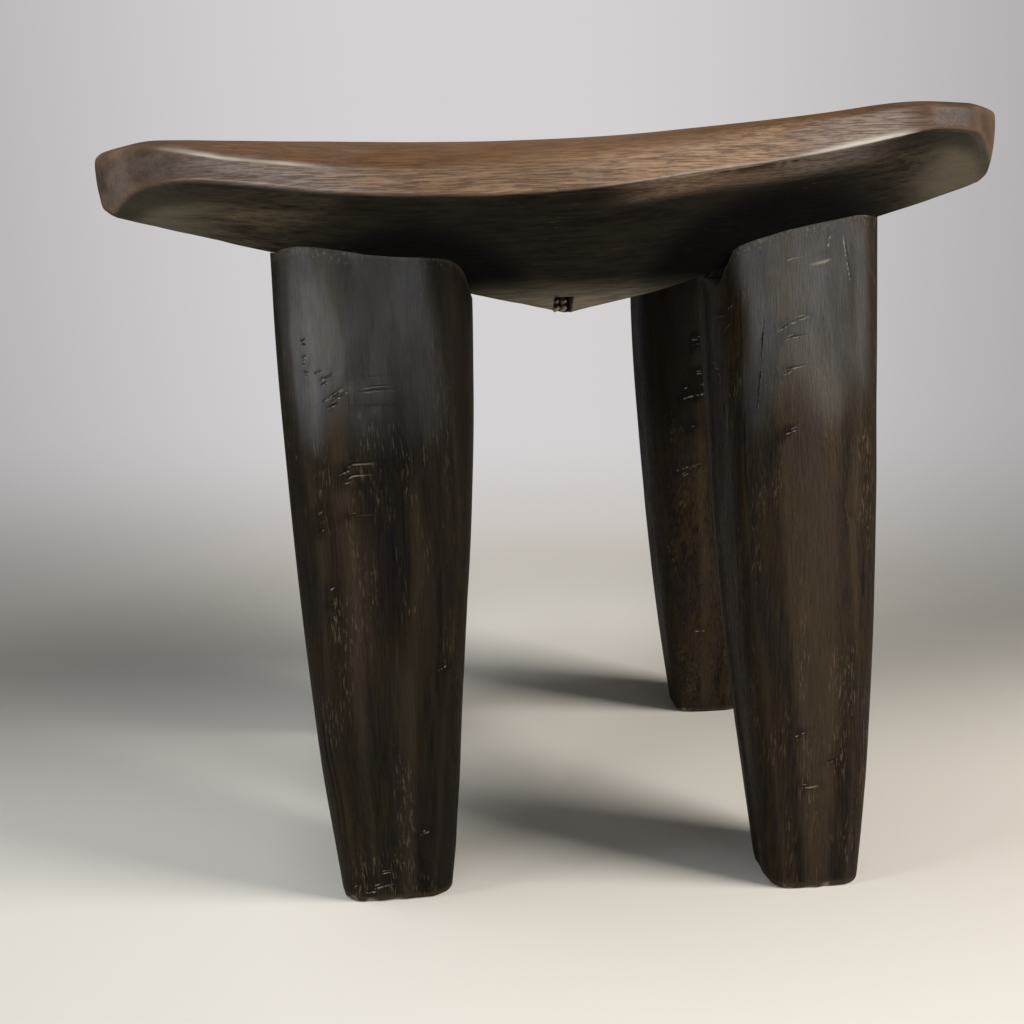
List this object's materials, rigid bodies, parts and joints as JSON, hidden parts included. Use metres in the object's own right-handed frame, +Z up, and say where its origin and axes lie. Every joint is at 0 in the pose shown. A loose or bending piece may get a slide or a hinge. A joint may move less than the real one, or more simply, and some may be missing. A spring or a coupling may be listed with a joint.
{
  "type": "stool",
  "caption": "Low carved wooden stool with a dished rectangular seat, a keeled underside and tapered legs tenoned into the seat.",
  "frame": {"origin": "on the floor, under the middle of the seat", "axes": "+X to the right along the seat's length, -Y towards the front, +Z up"},
  "size_m": [0.426, 0.29, 0.376],
  "materials": {
    "seat_wood": "worn, hand-polished dark brown",
    "leg_wood": "near-black patina, low gloss",
    "peg_wood": "raw, broken"
  },
  "bodies": {
    "root": {"seat": "seat_wood", "leg_front_left": "leg_wood", "leg_front_right": "leg_wood", "leg_back_left": "leg_wood", "leg_back_right": "leg_wood", "apex_peg": "peg_wood"}
  },
  "joints": []
}
